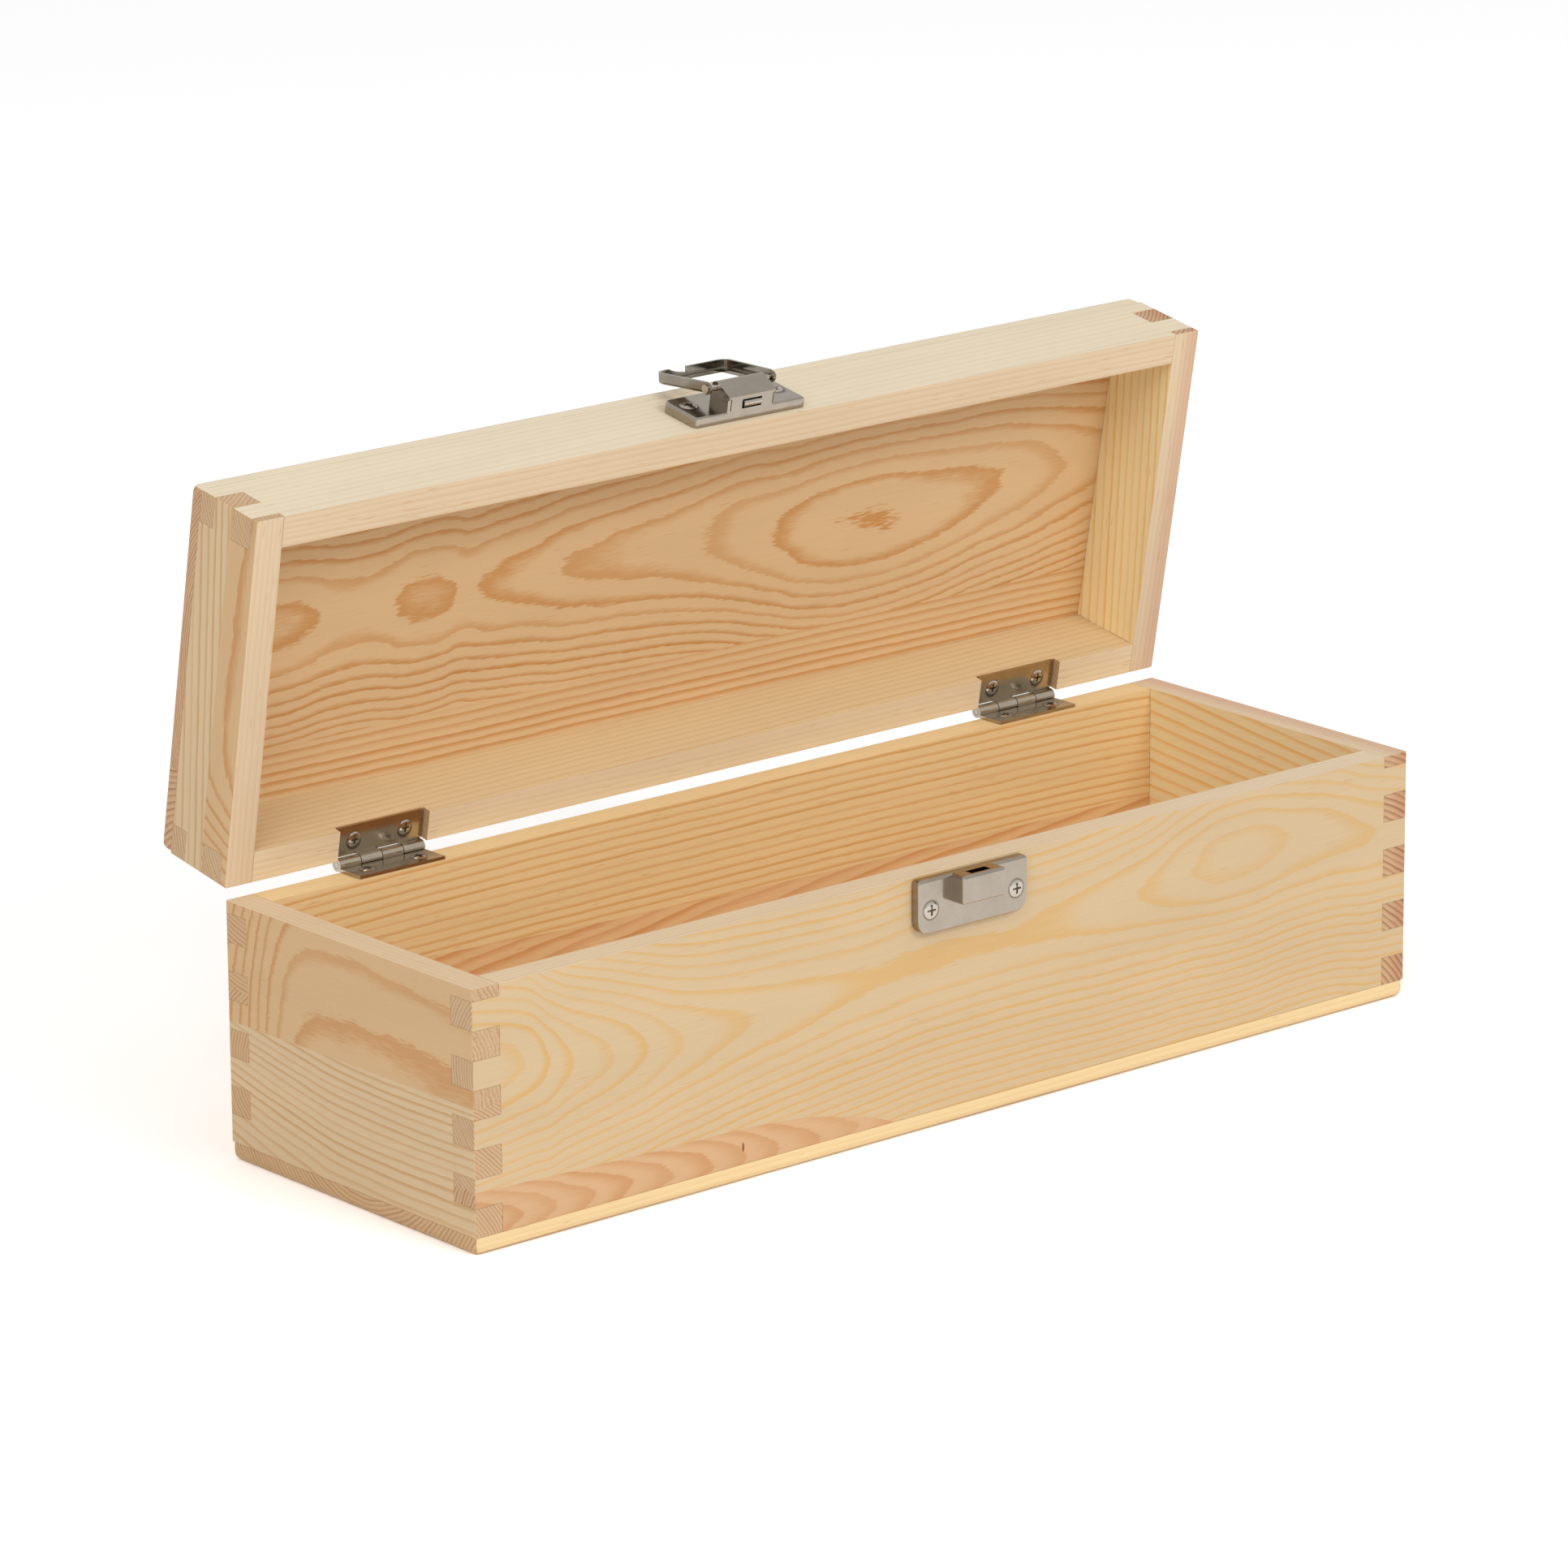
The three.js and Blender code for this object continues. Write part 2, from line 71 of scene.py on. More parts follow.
class Shader:
    """Adds nodes to one material and joins them."""

    def __init__(self, name):
        self.material = bpy.data.materials.new(name)
        self.material.use_nodes = True
        self.tree = self.material.node_tree
        self.tree.nodes.clear()
        self.output = self.node("ShaderNodeOutputMaterial")

    def node(self, kind, **settings):
        made = self.tree.nodes.new(kind)
        for key, value in settings.items():
            setattr(made, key, value)
        return made

    def put(self, socket, value):
        """Links an output to the socket, or sets a plain value on it."""
        if isinstance(value, bpy.types.NodeSocket):
            self.tree.links.new(value, socket)
        else:
            socket.default_value = value

    def math(self, operation, *values):
        made = self.node("ShaderNodeMath", operation=operation)
        for socket, value in zip(made.inputs, values):
            self.put(socket, value)
        return made.outputs[0]

    def add(self, a, b):
        return self.math("ADD", a, b)

    def times(self, a, b):
        return self.math("MULTIPLY", a, b)

    def less(self, a, b):
        return self.math("SUBTRACT", a, b)

    def step(self, value, low, high):
        """0 below low, 1 above high, smooth between."""
        made = self.node("ShaderNodeMapRange", interpolation_type="SMOOTHSTEP")
        for key, given in (("Value", value), ("From Min", low), ("From Max", high)):
            self.put(made.inputs[key], given)
        return made.outputs["Result"]

    def spread(self, value, low, high):
        """Carries 0..1 to low..high."""
        return self.add(self.times(value, high - low), low)

    def mix(self, share, a, b, blend="MIX"):
        made = self.node("ShaderNodeMix", data_type="RGBA", blend_type=blend)
        self.put(made.inputs[0], share)
        self.put(made.inputs[6], a)
        self.put(made.inputs[7], b)
        return made.outputs[2]

    def grey(self, value):
        made = self.node("ShaderNodeCombineColor")
        for socket in made.inputs[:3]:
            self.put(socket, value)
        return made.outputs[0]

    def vector(self, x, y, z):
        made = self.node("ShaderNodeCombineXYZ")
        for socket, value in zip(made.inputs, (x, y, z)):
            self.put(socket, value)
        return made.outputs[0]

    def noise(self, where, scale, detail, roughness=0.5):
        made = self.node("ShaderNodeTexNoise")
        self.put(made.inputs["Vector"], where)
        made.inputs["Scale"].default_value = scale
        made.inputs["Detail"].default_value = detail
        made.inputs["Roughness"].default_value = roughness
        return made.outputs["Fac"]

    def curve(self, value, length, points):
        """A smooth curve through (distance, height) points, both in millimetres."""
        low = min(h for _, h in points)
        high = max(h for _, h in points)
        if high - low < 1e-6:
            return low
        made = self.node("ShaderNodeFloatCurve")
        line = made.mapping.curves[0]
        ends = [(max(0.0, min(1.0, d / length)), (h - low) / (high - low)) for d, h in points]
        while len(line.points) < len(ends):
            line.points.new(0.5, 0.5)
        for point, place in zip(line.points, ends):
            point.location = place
        made.mapping.update()
        self.put(made.inputs["Value"], self.times(value, 1 / length))
        return self.spread(made.outputs[0], low, high)

    def bump(self, height, strength, distance):
        made = self.node("ShaderNodeBump")
        made.inputs["Strength"].default_value = strength
        made.inputs["Distance"].default_value = distance
        self.put(made.inputs["Height"], height)
        return made.outputs[0]

    def finish(self, colour, roughness, normal, **settings):
        """Ends the material in a Principled shader, with settings such as IOR set on its own sockets."""
        shader = self.node("ShaderNodeBsdfPrincipled")
        self.put(shader.inputs["Base Color"], colour)
        self.put(shader.inputs["Roughness"], roughness)
        self.put(shader.inputs["Normal"], normal)
        for key, value in settings.items():
            shader.inputs[key].default_value = value
        self.tree.links.new(shader.outputs[0], self.output.inputs["Surface"])
        return self.material


# ---------------------------------------------------------------- pine

CREAM = linear(218, 190, 149)
HONEY = linear(221, 177, 110)
AMBER = linear(206, 146, 84)
END = linear(212, 178, 137)
END_LINE = linear(182, 139, 98)
RED_END = linear(212, 172, 130)
RED_END_LINE = linear(164, 112, 74)
EDGE = linear(233, 208, 173)
EDGE_LINE = linear(221, 187, 144)
PALE = linear(240, 224, 195)
PALE_LINE = linear(234, 211, 172)

# What a strip of wood has where its own list of values says nothing else. Lengths are in millimetres.
# wander, ripple and fray move the ring lines, by about that much, in long, short and tiny waves.
# width is the dark share of a ring, and close says how much closer the rings lie on the board's ends.
USUAL_STRIP = {
    "wander": 3.0, "ripple": 0.7, "fray": 0.5, "width": 0.42, "contrast": 1.0, "close": 2.0,
    "early": CREAM, "late": HONEY, "end": END, "end_line": END_LINE, "edge": EDGE, "edge_line": EDGE_LINE,
}

# Noise drawn out along the grain: length along it and width across it in millimetres, seed offset, detail.
WANDER = (60.0, 15.0, 0, 2.0)
RIPPLE = (14.0, 4.0, 5, 1.0)
FRAY = (5.0, 0.5, 9, 1.0)
EDGE_SWAY = (70.0, 6.0, 6, 1.0)
THREADS = (22.0, 0.45, 2, 2.0)
CLOUD = (80.0, 16.0, 3, 1.0)
PORES = (30.0, 0.33, 4, 2.0)
MARKS = (7.0, 0.52, 11, 0.0)

# A ring is darkest from LATE_END to LATE_FADE of its width, with its whole number at LATE_END.
LATE_END = 0.9
LATE_FADE = 0.92
# How dark a ring's line is: noise between RING_LEVELS gives RING_STRENGTH, moved on RING_STEP for each ring.
RING_STEP = 1.37
RING_LEVELS = (0.3, 0.65)
RING_STRENGTH = (0.5, 1.0)
# On the boards' ends and edges the lines are wider, and those on the edges are straight and fainter.
CLOSE_WIDTH = 0.6
EDGE_RINGS = 0.55
EDGE_SWAY_SIZE = 1.2
EDGE_STRENGTH = 0.6

SHADE = (0.94, 1.06)
PORE_STRENGTH = 0.35
MARK_LEVELS = (0.76, 0.84)
MARK_STRENGTH = 0.35
SEAM_BLEND = (-0.15, 0.15)
KNOT_BLEND = (0.4, 1.0)
FAR_MARGIN = 2.0
FACING = (0.6, 0.85)
PINE_BUMP = {"strength": 0.12, "distance": 0.0003}
PINE_ROUGHNESS = (0.46, 0.6)
PINE_IOR = 1.45


def closed_place(s, in_lid):
    """The point in millimetres, with the lid's boards laid back in their closed place."""
    place = s.node("ShaderNodeTexCoord").outputs["Object"]
    mapping = s.node("ShaderNodeMapping", vector_type="POINT")
    s.put(mapping.inputs["Vector"], place)
    mapping.inputs["Scale"].default_value = (1 / MM,) * 3
    if in_lid:
        mapping.inputs["Rotation"].default_value = Euler((LID_OPEN, 0, 0))
        mapping.inputs["Location"].default_value = HINGE - TO_CLOSED @ HINGE
    return mapping.outputs[0]


def grain_noise(s, spot, kind, seed):
    """Noise around 0, of one of the kinds named above, at spot (along, across and into the board)."""
    along, across, offset, detail = kind
    u, v, w = (s.times(way, 1 / size) for way, size in zip(spot, (along, across, across)))
    return s.less(s.noise(s.vector(u, v, s.add(w, seed + offset)), 1.0, detail), 0.5)


def ring_number(s, spot, strip):
    """Counts a tree's rings from the pith, whole numbers on the dark lines.

    The pith runs along the board at the heights of strip["pith"], strip["depth"] behind the face. Where
    strip["swell"] rises, a ring swells out along the board, which draws tongues and eyes on the face.
    """
    u, v, w = spot
    pith = s.curve(u, strip["length"], strip["pith"])
    swell = s.curve(u, strip["length"], strip["swell"])
    depth = strip["depth"]
    spread = s.math("POWER", s.less(v, pith), 2.0)
    radius = s.math("SQRT", s.add(spread, s.math("POWER", s.add(w, depth), 2.0)))
    wander, ripple, fray = (
        s.times(grain_noise(s, spot, kind, strip["seed"]), strip[size])
        for kind, size in ((WANDER, "wander"), (RIPPLE, "ripple"), (FRAY, "fray"))
    )
    sway = s.add(wander, s.add(ripple, fray))
    return s.times(s.add(s.less(s.less(radius, depth), swell), sway), 1 / strip["pitch"])


def dark_band(s, number, seed, width):
    """How much latewood shows: it grows across a ring and ends sharply, in some rings more than in others."""
    shifted = s.add(number, LATE_END)
    part = s.math("FRACT", shifted)
    rise = s.step(part, LATE_END - width, LATE_END)
    fall = s.less(1.0, s.step(part, LATE_FADE, 1.0))
    whole = s.math("FLOOR", shifted)
    level = s.noise(s.vector(s.times(whole, RING_STEP), seed, 0.0), 1.0, 0.0)
    return s.times(s.times(rise, fall), s.spread(s.step(level, *RING_LEVELS), *RING_STRENGTH))


def strip_colour(s, spot, given, ends, edges):
    """A strip's colour on its long faces, with the ones on its ends and on its edges mixed in."""
    strip = {**USUAL_STRIP, **given}
    seed = strip["seed"]
    number = ring_number(s, spot, strip)
    band = dark_band(s, number, seed, strip["width"])
    face = s.mix(s.times(band, strip["contrast"]), strip["early"], strip["late"])
    if "knot" in strip:
        face = s.mix(knot_mask(s, spot, strip["knot"]), face, strip["knot"]["tone"])
    close = dark_band(s, s.times(number, strip["close"]), seed + 1, CLOSE_WIDTH)
    end = s.mix(close, strip["end"], strip["end_line"])
    sway = s.times(grain_noise(s, spot, EDGE_SWAY, seed), EDGE_SWAY_SIZE)
    straight = s.add(s.times(spot[2], EDGE_RINGS), sway)
    edge_band = s.times(dark_band(s, straight, seed + 8, CLOSE_WIDTH), EDGE_STRENGTH)
    edge = s.mix(edge_band, strip["edge"], strip["edge_line"])
    return s.mix(ends, s.mix(edges, face, edge), end)


def knot_mask(s, spot, knot):
    """A small dark dash at knot["place"], in millimetres along and across."""
    along, across = (
        s.math("POWER", s.times(s.less(way, middle), 1 / size), 2.0)
        for way, middle, size in zip(spot, knot["place"], knot["size"])
    )
    return s.less(1.0, s.step(s.add(along, across), *KNOT_BLEND))


def pine(name, along, across, into, strips, seams=(), in_lid=False):
    """Pine for one board.

    along, across and into are ways for the board's length, width and thickness, from the face that shows
    most. strips are listed from low to high across the board, with the glue lines between in seams. A "far"
    colour in the first strip is multiplied in towards the face on the other side. That is painted shade: such
    a strip's own colours are brightened as painted light on the face that shows most.
    """
    s = Shader(name)
    split = s.node("ShaderNodeSeparateXYZ")
    s.put(split.inputs[0], closed_place(s, in_lid))
    axes = dict(zip("XYZ", split.outputs))
    ways = (along, across, into)
    u, v, w = spot = [s.times(s.less(axes[axis], start), float(sign)) for axis, start, sign in ways]
    ends = facing_mask(s, along[0], in_lid)
    edges = facing_mask(s, across[0], in_lid)
    colour = strip_colour(s, spot, strips[0], ends, edges)
    for strip, seam in zip(strips[1:], seams):
        upper = s.step(s.less(v, s.curve(u, strip["length"], seam)), *SEAM_BLEND)
        colour = s.mix(upper, colour, strip_colour(s, spot, strip, ends, edges))
    threads, cloud, pores, marks = (
        s.add(grain_noise(s, spot, kind, strips[0]["seed"]), 0.5) for kind in (THREADS, CLOUD, PORES, MARKS)
    )
    shade = s.times(s.spread(threads, *SHADE), s.spread(cloud, *SHADE))
    shade = s.times(shade, s.less(1.0, s.times(s.times(ends, s.less(pores, 0.5)), PORE_STRENGTH)))
    colour = s.mix(1.0, colour, s.grey(shade), "MULTIPLY")
    colour = s.mix(s.times(s.step(marks, *MARK_LEVELS), MARK_STRENGTH), colour, AMBER)
    # Painted shade: the far colour darkens the board towards the face on the other side, against the painted
    # light in the strip's own colours.
    if "far" in strips[0]:
        painted_shade_side = s.mix(1.0, colour, strips[0]["far"], "MULTIPLY")
        colour = s.mix(s.step(w, FAR_MARGIN, WALL - FAR_MARGIN), colour, painted_shade_side)
    normal = s.bump(threads, **PINE_BUMP)
    return s.finish(colour, s.spread(threads, *PINE_ROUGHNESS), normal, IOR=PINE_IOR)


def facing_mask(s, axis, in_lid):
    """1 on faces that look along the given axis of the closed box."""
    way = Vector([float(axis == name) for name in "XYZ"])
    if in_lid:
        way = TO_OPEN @ way
    facing = s.node("ShaderNodeVectorMath", operation="DOT_PRODUCT")
    s.put(facing.inputs[0], s.node("ShaderNodeTexCoord").outputs["Normal"])
    facing.inputs[1].default_value = way
    return s.step(s.math("ABSOLUTE", facing.outputs["Value"]), *FACING)


# ---------------------------------------------------------------- boards

# Ways across a board: the axis, where the count starts in millimetres, and the sign it counts in.
FROM_LEFT = ("X", LEFT, 1)
FROM_INNER_RIGHT = ("X", LEFT + LENGTH - WALL, 1)
FROM_FRONT = ("Y", FRONT, 1)
FROM_INNER_BACK = ("Y", FRONT + DEPTH - WALL, 1)
UP = ("Z", 0.0, 1)
UP_FROM_PANEL = ("Z", PANEL_INSIDE, 1)
DOWN_FROM_FLOOR = ("Z", FLOOR_TOP, -1)


def like(base, **changes):
    return {**base, **changes}


# Figure is in millimetres: (distance from the left or front end, height) for pith, swell and glue lines.
FRONT_TONGUES = {
    "length": LENGTH,
    "pith": [(0, 52), (17, 51.5), (26, 49), (47, 47), (72, 45.7), (96, 46.5), (140, 48.5), (172, 51),
             (205, 51), (244, 53), (264, 56), (282, 57), (302, 57), (336, 52.5), (350, 51)],
    "swell": [(0, 18), (17, 16.1), (26, 13.8), (34, 11.5), (47.5, 9.2), (60, 6.9), (72.5, 4.6), (96, 2.3),
              (118, 1.1), (138, 0.4), (158, 0.3), (185, 0.3), (205, 0.4), (222, 1.1), (244, 2.3), (264, 4.6),
              (282, 5.8), (302, 4.6), (336, 2.3), (350, 1.4)],
    "depth": 20.0, "pitch": 2.3, "seed": 1.0, "wander": 1.6, "ripple": 0.5, "fray": 0.45,
    "edge": linear(236, 216, 184),
}
FRONT_HEART = {
    "length": LENGTH, "pith": [(0, 9), (170, 7), (350, 6)], "swell": [(0, 0), (350, -60)],
    "depth": 8.0, "pitch": 2.3, "seed": 2.0, "width": 0.7, "contrast": 0.8,
    "early": linear(220, 178, 133), "late": linear(206, 149, 97), "end": RED_END, "end_line": RED_END_LINE,
    "knot": {"place": (94, 10), "size": (0.5, 1.6), "tone": linear(150, 84, 50)},
}
FRONT_SEAM = [(0, 18), (60, 16), (100, 15), (130, 11), (150, 5), (170, -2), (350, -6)]

SIDE_LINES = {
    "length": DEPTH, "pith": [(0, -20), (110, -20)], "swell": [(0, 0), (55, 0.3), (75, 2), (110, 7)],
    "depth": 40.0, "pitch": 2.0, "seed": 4.0, "wander": 1.6, "ripple": 0.4, "fray": 0.25,
    "early": linear(222, 193, 152), "late": linear(204, 160, 106),
}
SIDE_SWIRL = {
    "length": DEPTH, "pith": [(0, 34), (54, 36), (110, 36)],
    "swell": [(0, 1.5), (11, 1.7), (25, 2.1), (40, 2.4), (54, 2.5), (66, 2.3), (73, 1.6), (79, -0.2),
              (83, -2.6), (87, -6), (91, -10.5), (95, -16.5), (99, -23), (104, -31), (110, -40)],
    "depth": 60.0, "pitch": 6.5, "seed": 5.0, "ripple": 1.4, "fray": 2.0, "width": 0.34, "close": 5.0,
    "early": linear(218, 180, 132), "late": linear(202, 144, 84),
}
SIDE_TOP = like(SIDE_LINES, pith=[(0, 150), (110, 146)], swell=[(0, 0), (110, 5)], seed=6.0, pitch=2.4)
SIDE_SEAM = [(0, 41.5), (60, 41), (110, 40.5)]
SIDE_LID_SEAM = [(0, 87.3), (110, 87.3)]

# Painted light: the right end walls' colours are brightened for the light on their inner faces. Their far
# colour darkens them again towards the outer faces, as painted shade.
RIGHT_PAINTED_LIT_LINES = like(
    SIDE_LINES, pith=[(0, -30), (110, -22)], swell=[(0, 0), (110, 4)], seed=7.0, pitch=3.5,
    early=linear(254, 240, 194), late=linear(250, 206, 130), end=RED_END, end_line=RED_END_LINE,
    far=(0.92, 0.8, 0.79, 1.0))
RIGHT_LID_PAINTED_LIT_LINES = like(RIGHT_PAINTED_LIT_LINES, seed=14.0, pith=[(0, 140), (110, 134)], pitch=2.4)

BACK_LINES = {
    "length": LENGTH, "pith": [(0, 118), (175, 121), (350, 117)], "swell": [(0, 0), (175, 1), (350, 0)],
    "depth": 12.0, "pitch": 2.7, "seed": 3.0, "wander": 1.5, "ripple": 0.4, "fray": 0.3,
    "early": linear(244, 212, 155), "late": linear(228, 174, 104),
    "end": linear(214, 176, 130), "end_line": linear(182, 138, 94),
    "edge": linear(248, 219, 166), "edge_line": linear(238, 200, 142),
}
BACK_FLAME = like(
    BACK_LINES, pith=[(0, 30), (350, 26)], swell=[(0, 0), (350, 30)], depth=14.0, pitch=2.5, seed=3.5,
    early=linear(238, 198, 144), late=linear(222, 162, 102), width=0.6, wander=3.0)
BACK_SEAM = [(0, 50), (60, 48), (170, 44), (350, 42)]

PANEL_EYE = {
    "length": LENGTH,
    "pith": [(0, 47), (100, 47.5), (185, 48), (213, 51), (250, 53), (299, 50), (325, 49), (350, 48)],
    "swell": [(0, -4.4), (18, -3.95), (30, -3.85), (42, -4.2), (50, -4.65), (60, -4.8), (70, -4.5),
              (82, -3.95), (92, -4.15), (97, -4.5), (103, -4.25), (112, -3.9), (120, -3.65), (128, -3.25),
              (135, -2.85), (150, -2.5), (165, -2.2), (175, -1.9), (185.5, -1.41), (200, -0.6), (213, 0),
              (232, 1.1), (250, 1.48), (270, 1.1), (299, 0), (313, -0.6), (325.5, -1.41), (340, -2.2),
              (350, -2.8)],
    "depth": 60.0, "pitch": 1.41, "seed": 8.0, "wander": 0.8, "ripple": 0.4, "fray": 0.45, "close": 1.5,
    "early": linear(229, 194, 146), "late": linear(208, 146, 78),
    "end": RED_END, "end_line": RED_END_LINE, "edge": PALE, "edge_line": PALE_LINE,
}
PANEL_EDGE = like(
    PANEL_EYE, pith=[(0, 126), (350, 130)], swell=[(0, 0), (350, 2)], depth=16.0, pitch=2.7, seed=9.0,
    late=linear(206, 142, 74), wander=1.6, width=0.6)
PANEL_SEAM = [(0, 84.5), (350, 85)]

FLOOR_LINES = like(
    BACK_LINES, pith=[(0, 50), (350, 60)], swell=[(0, 0), (350, 14)], depth=30.0, seed=10.0,
    early=linear(236, 198, 148), late=linear(218, 166, 108))
PALE_LINES = {
    "length": LENGTH, "pith": [(0, 60), (350, 66)], "swell": [(0, 0), (350, 3)], "depth": 12.0, "pitch": 2.4,
    "seed": 11.0, "wander": 1.6, "fray": 0.3, "contrast": 0.8, "early": PALE, "late": PALE_LINE,
}
LID_BACK_LINES = like(
    PALE_LINES, seed=12.0, contrast=0.5, early=linear(229, 204, 161), late=linear(213, 171, 113),
    edge=linear(241, 220, 184), edge_line=linear(230, 200, 156))

# Each board's material name, its ways along, across and into it, its strips and the glue lines between them.
BODY_BOARDS = {
    "front_wall": ("pine_front", FROM_LEFT, UP, FROM_FRONT, [FRONT_HEART, FRONT_TONGUES], [FRONT_SEAM]),
    "back_wall": ("pine_back", FROM_LEFT, UP, FROM_INNER_BACK, [BACK_FLAME, BACK_LINES], [BACK_SEAM]),
    "left_end_wall": ("pine_left_end", FROM_FRONT, UP, FROM_LEFT, [SIDE_LINES, SIDE_SWIRL], [SIDE_SEAM]),
    "right_end_wall": ("pine_right_end", FROM_FRONT, UP, FROM_INNER_RIGHT, [RIGHT_PAINTED_LIT_LINES]),
    "bottom_board": ("pine_bottom", FROM_LEFT, FROM_FRONT, DOWN_FROM_FLOOR, [FLOOR_LINES]),
}
LID_BOARDS = {
    "lid_front_wall": ("pine_lid_front", FROM_LEFT, UP, FROM_FRONT, [PALE_LINES]),
    "lid_back_wall": ("pine_lid_back", FROM_LEFT, UP, FROM_INNER_BACK, [LID_BACK_LINES]),
    "lid_left_end_wall": (
        "pine_lid_left", FROM_FRONT, UP, FROM_LEFT, [SIDE_SWIRL, SIDE_TOP], [SIDE_LID_SEAM]),
    "lid_right_end_wall": ("pine_lid_right", FROM_FRONT, UP, FROM_INNER_RIGHT, [RIGHT_LID_PAINTED_LIT_LINES]),
    "lid_panel": (
        "pine_lid_panel", FROM_LEFT, FROM_FRONT, UP_FROM_PANEL, [PANEL_EYE, PANEL_EDGE], [PANEL_SEAM]),
}
boards = {name: pine(*values) for name, values in BODY_BOARDS.items()}
boards.update({name: pine(*values, in_lid=True) for name, values in LID_BOARDS.items()})


# ---------------------------------------------------------------- metal

# The colour of the painted shade round the screw heads.
SCREW_SHADE = linear(104, 92, 80)
# Nickel tones, light and dark, for each part: darker than bare nickel, as painted reflection of dark
# surroundings, and darkest on the lever, for the dark reflections in its flanges.
PLATE = (linear(174, 164, 151), linear(134, 123, 111))
LEVER_PAINTED_DARKER = (linear(152, 144, 130), linear(92, 84, 72))
HINGE_LEAF = (linear(192, 180, 161), linear(140, 127, 110))
STEEL = (linear(200, 192, 181), linear(138, 127, 114))
NICKEL_ROUGHNESS = (0.1, 0.22)
STEEL_ROUGHNESS = (0.12, 0.26)

# Noise scales, in features to the metre.
HAZE_SCALE = 180.0
BRUSHING_SCALE = 700.0
SPECK_SCALE = 2400.0

HAZE_STRENGTH = 0.55
BRUSHING_BUMP = {"strength": 0.06, "distance": 0.0002}
SPECK_LEVELS = (0.62, 0.74)
SPECK_STRENGTH = 0.25
SPECK_ROUGHNESS = 0.08
# Painted shade round each screw head, standing in for the shadow in its countersink,
# fades out between these multiples of a screw head's radius.
SCREW_SHADE_REACH = (0.92, 1.3)


def line_distance(s, place, centre, along):
    """The distance from the line through centre that runs the way along points."""
    away = s.node("ShaderNodeVectorMath", operation="SUBTRACT")
    s.put(away.inputs[0], place)
    away.inputs[1].default_value = centre
    side = s.node("ShaderNodeVectorMath", operation="CROSS_PRODUCT")
    s.put(side.inputs[0], away.outputs[0])
    side.inputs[1].default_value = along
    length = s.node("ShaderNodeVectorMath", operation="LENGTH")
    s.put(length.inputs[0], side.outputs[0])
    return length.outputs["Value"]


def plated(name, tones, roughness, screws=()):
    """Bright plating with a slight haze, faint brushing and small specks, and painted shade in a ring round
    its screws.
    """
    s = Shader(name)
    light, dark = tones
    place = s.node("ShaderNodeTexCoord").outputs["Object"]
    haze = s.noise(place, HAZE_SCALE, 3.0, 0.55)
    specks = s.step(s.noise(place, SPECK_SCALE, 1.0), *SPECK_LEVELS)
    colour = s.mix(s.spread(haze, 0.0, HAZE_STRENGTH), light, dark)
    colour = s.mix(s.times(specks, SPECK_STRENGTH), colour, dark)
    # Painted shade: a dark ring on the plate round each screw head.
    for centre, along, radius in screws:
        start, end = (radius * reach for reach in SCREW_SHADE_REACH)
        unshaded = s.step(line_distance(s, place, centre, along), start, end)
        colour = s.mix(s.less(1.0, unshaded), colour, SCREW_SHADE)
    rough = s.add(s.spread(haze, *roughness), s.times(specks, SPECK_ROUGHNESS))
    normal = s.bump(s.noise(place, BRUSHING_SCALE, 2.0), **BRUSHING_BUMP)
    return s.finish(colour, rough, normal, Metallic=1.0)


def screw_line(name):
    """A screw's middle line, as a point and a way, and the radius of its head, in metres."""
    screw_low, screw_high = (Vector(c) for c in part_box(name))
    centre = (screw_low + screw_high) / 2
    if "striker" in name:
        along = Vector((0, 1, 0))
    elif "box" in name:
        along = Vector((0, 0, 1))
    elif "latch" in name:
        along = TO_OPEN @ Vector((0, -1, 0))
    else:
        along = TO_OPEN @ Vector((0, 0, 1))
    return centre, along, (screw_high.x - screw_low.x) / 2


def metal_for(name):
    if any(word in name for word in ("screw", "pin", "tongue")):
        return plated(name + "_steel", STEEL, STEEL_ROUGHNESS)
    family = {"striker_plate": "striker", "latch_base_plate": "latch"}.get(name, name.replace("_leaf", ""))
    screws = [screw_line(other) for other in frame["nodes"] if other.startswith(family + "_screw")]
    # The tones hold painted reflection, darkest on the lever.
    tones = LEVER_PAINTED_DARKER if "lever" in name else HINGE_LEAF if "leaf" in name else PLATE
    return plated(name + "_nickel", tones, NICKEL_ROUGHNESS, screws)


for name, made in frame["nodes"].items():
    made.data.materials.clear()
    made.data.materials.append(boards[name] if name in boards else metal_for(name))


# ---------------------------------------------------------------- stage, light and camera

AIM = Vector((-0.01139, 0.00863, 0.08728))
CAMERA_TURN = math.radians(40.306)
CAMERA_TILT = math.radians(16.117)
CAMERA_ROLL = math.radians(-0.377)
CAMERA_DISTANCE = 2.2368
CAMERA_LENS = 180.3
CAMERA_SENSOR = 36.0
CAMERA_NEAR = 0.05

WORLD_STRENGTH = 0.72
# Where each lamp stands, its size in metres and its power in watts.
LAMPS = {
    "key": ((0.35, -2.1, 1.5), 0.9, 18.0),
    "fill": ((-1.5, -0.9, 1.5), 1.2, 11.0),
}

# More than 1, so that the lamps' falling off leaves the floor white as far as the camera sees it.
FLOOR_WHITE = 1.5
FLOOR_TONES = (linear(246, 246, 246), linear(243, 243, 243))
FLOOR_CLOUDS = 3.0
FLOOR_REACH = 6.0
FLOOR_GAP = 0.0002


def towards(turn, tilt):
    """The way a camera looks when it stands turned from the front and tilted down."""
    return Vector((math.sin(turn) * math.cos(tilt), math.cos(turn) * math.cos(tilt), -math.sin(tilt)))


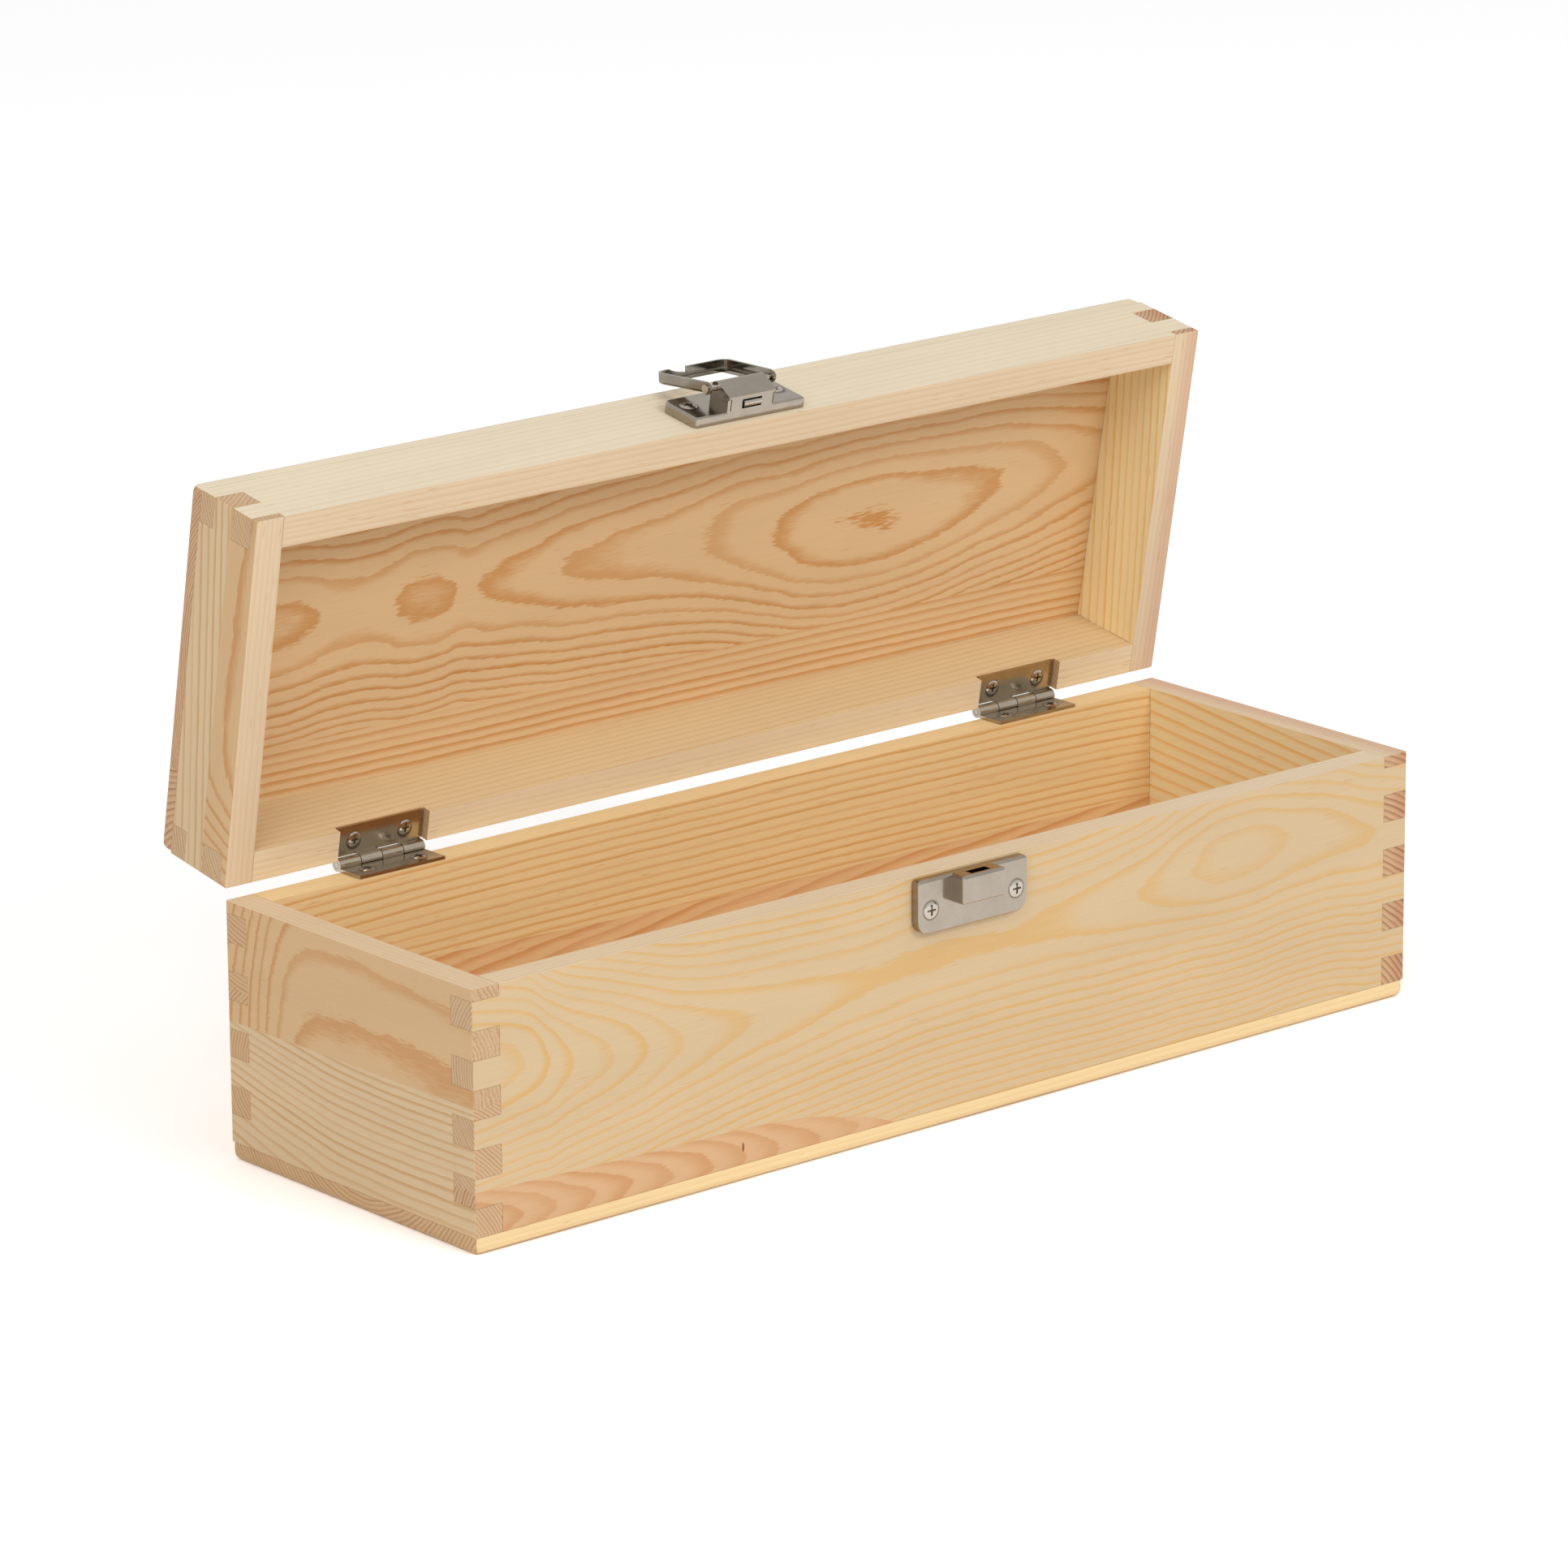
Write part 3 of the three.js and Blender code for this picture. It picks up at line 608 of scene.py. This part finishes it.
def make_camera():
    data = bpy.data.cameras.new("camera")
    data.lens = CAMERA_LENS
    data.sensor_width = CAMERA_SENSOR
    data.clip_start = CAMERA_NEAR
    made = bpy.data.objects.new("camera", data)
    look = towards(CAMERA_TURN, CAMERA_TILT)
    made.location = AIM - look * CAMERA_DISTANCE
    turned = look.to_track_quat("-Z", "Y").to_matrix() @ Matrix.Rotation(CAMERA_ROLL, 3, "Z")
    made.rotation_euler = turned.to_euler()
    bpy.context.scene.collection.objects.link(made)
    bpy.context.scene.camera = made


def make_floor():
    """A pale floor that the camera, glossy metal and glass see as white, apart from the object's shadow."""
    s = Shader("pale_floor")
    place = s.node("ShaderNodeTexCoord").outputs["Object"]
    tone = s.mix(s.noise(place, FLOOR_CLOUDS, 2.0), *FLOOR_TONES)
    path = s.node("ShaderNodeLightPath")
    seen = s.math("MAXIMUM", path.outputs["Is Camera Ray"], path.outputs["Is Glossy Ray"])
    seen = s.math("MAXIMUM", seen, path.outputs["Is Transmission Ray"])
    tone = s.mix(seen, tone, (FLOOR_WHITE, FLOOR_WHITE, FLOOR_WHITE, 1.0))
    shader = s.node("ShaderNodeBsdfDiffuse")
    s.put(shader.inputs["Color"], tone)
    s.tree.links.new(shader.outputs[0], s.output.inputs["Surface"])
    mesh = bpy.data.meshes.new("floor")
    corners = [(x * FLOOR_REACH, y * FLOOR_REACH, 0) for x, y in ((-1, -1), (1, -1), (1, 1), (-1, 1))]
    mesh.from_pydata(corners, [], [(0, 1, 2, 3)])
    mesh.materials.append(s.material)
    made = bpy.data.objects.new("floor", mesh)
    made.location.z = -FLOOR_GAP
    bpy.context.scene.collection.objects.link(made)


def make_lamp(name, place, size, power):
    data = bpy.data.lights.new(name, "AREA")
    data.shape = "DISK"
    data.size = size
    data.energy = power
    made = bpy.data.objects.new(name, data)
    made.location = place
    made.rotation_euler = (AIM - Vector(place)).to_track_quat("-Z", "Y").to_euler()
    bpy.context.scene.collection.objects.link(made)


def make_world():
    """Soft light from all round, which the camera, glossy metal and glass see as a plain pale background."""
    world = bpy.data.worlds.new("studio")
    world.use_nodes = True
    tree = world.node_tree
    tree.nodes.clear()
    output = tree.nodes.new("ShaderNodeOutputWorld")
    soft = tree.nodes.new("ShaderNodeBackground")
    soft.inputs["Strength"].default_value = WORLD_STRENGTH
    pale = tree.nodes.new("ShaderNodeBackground")
    path = tree.nodes.new("ShaderNodeLightPath")
    seen = path.outputs["Is Camera Ray"]
    for name in ("Is Glossy Ray", "Is Transmission Ray"):
        either = tree.nodes.new("ShaderNodeMath")
        either.operation = "MAXIMUM"
        tree.links.new(seen, either.inputs[0])
        tree.links.new(path.outputs[name], either.inputs[1])
        seen = either.outputs[0]
    mix = tree.nodes.new("ShaderNodeMixShader")
    tree.links.new(seen, mix.inputs[0])
    tree.links.new(soft.outputs[0], mix.inputs[1])
    tree.links.new(pale.outputs[0], mix.inputs[2])
    tree.links.new(mix.outputs[0], output.inputs["Surface"])
    bpy.context.scene.world = world


make_camera()
make_floor()
make_world()
for name, (place, size, power) in LAMPS.items():
    make_lamp(name, place, size, power)
bpy.context.scene.view_settings.view_transform = "Standard"
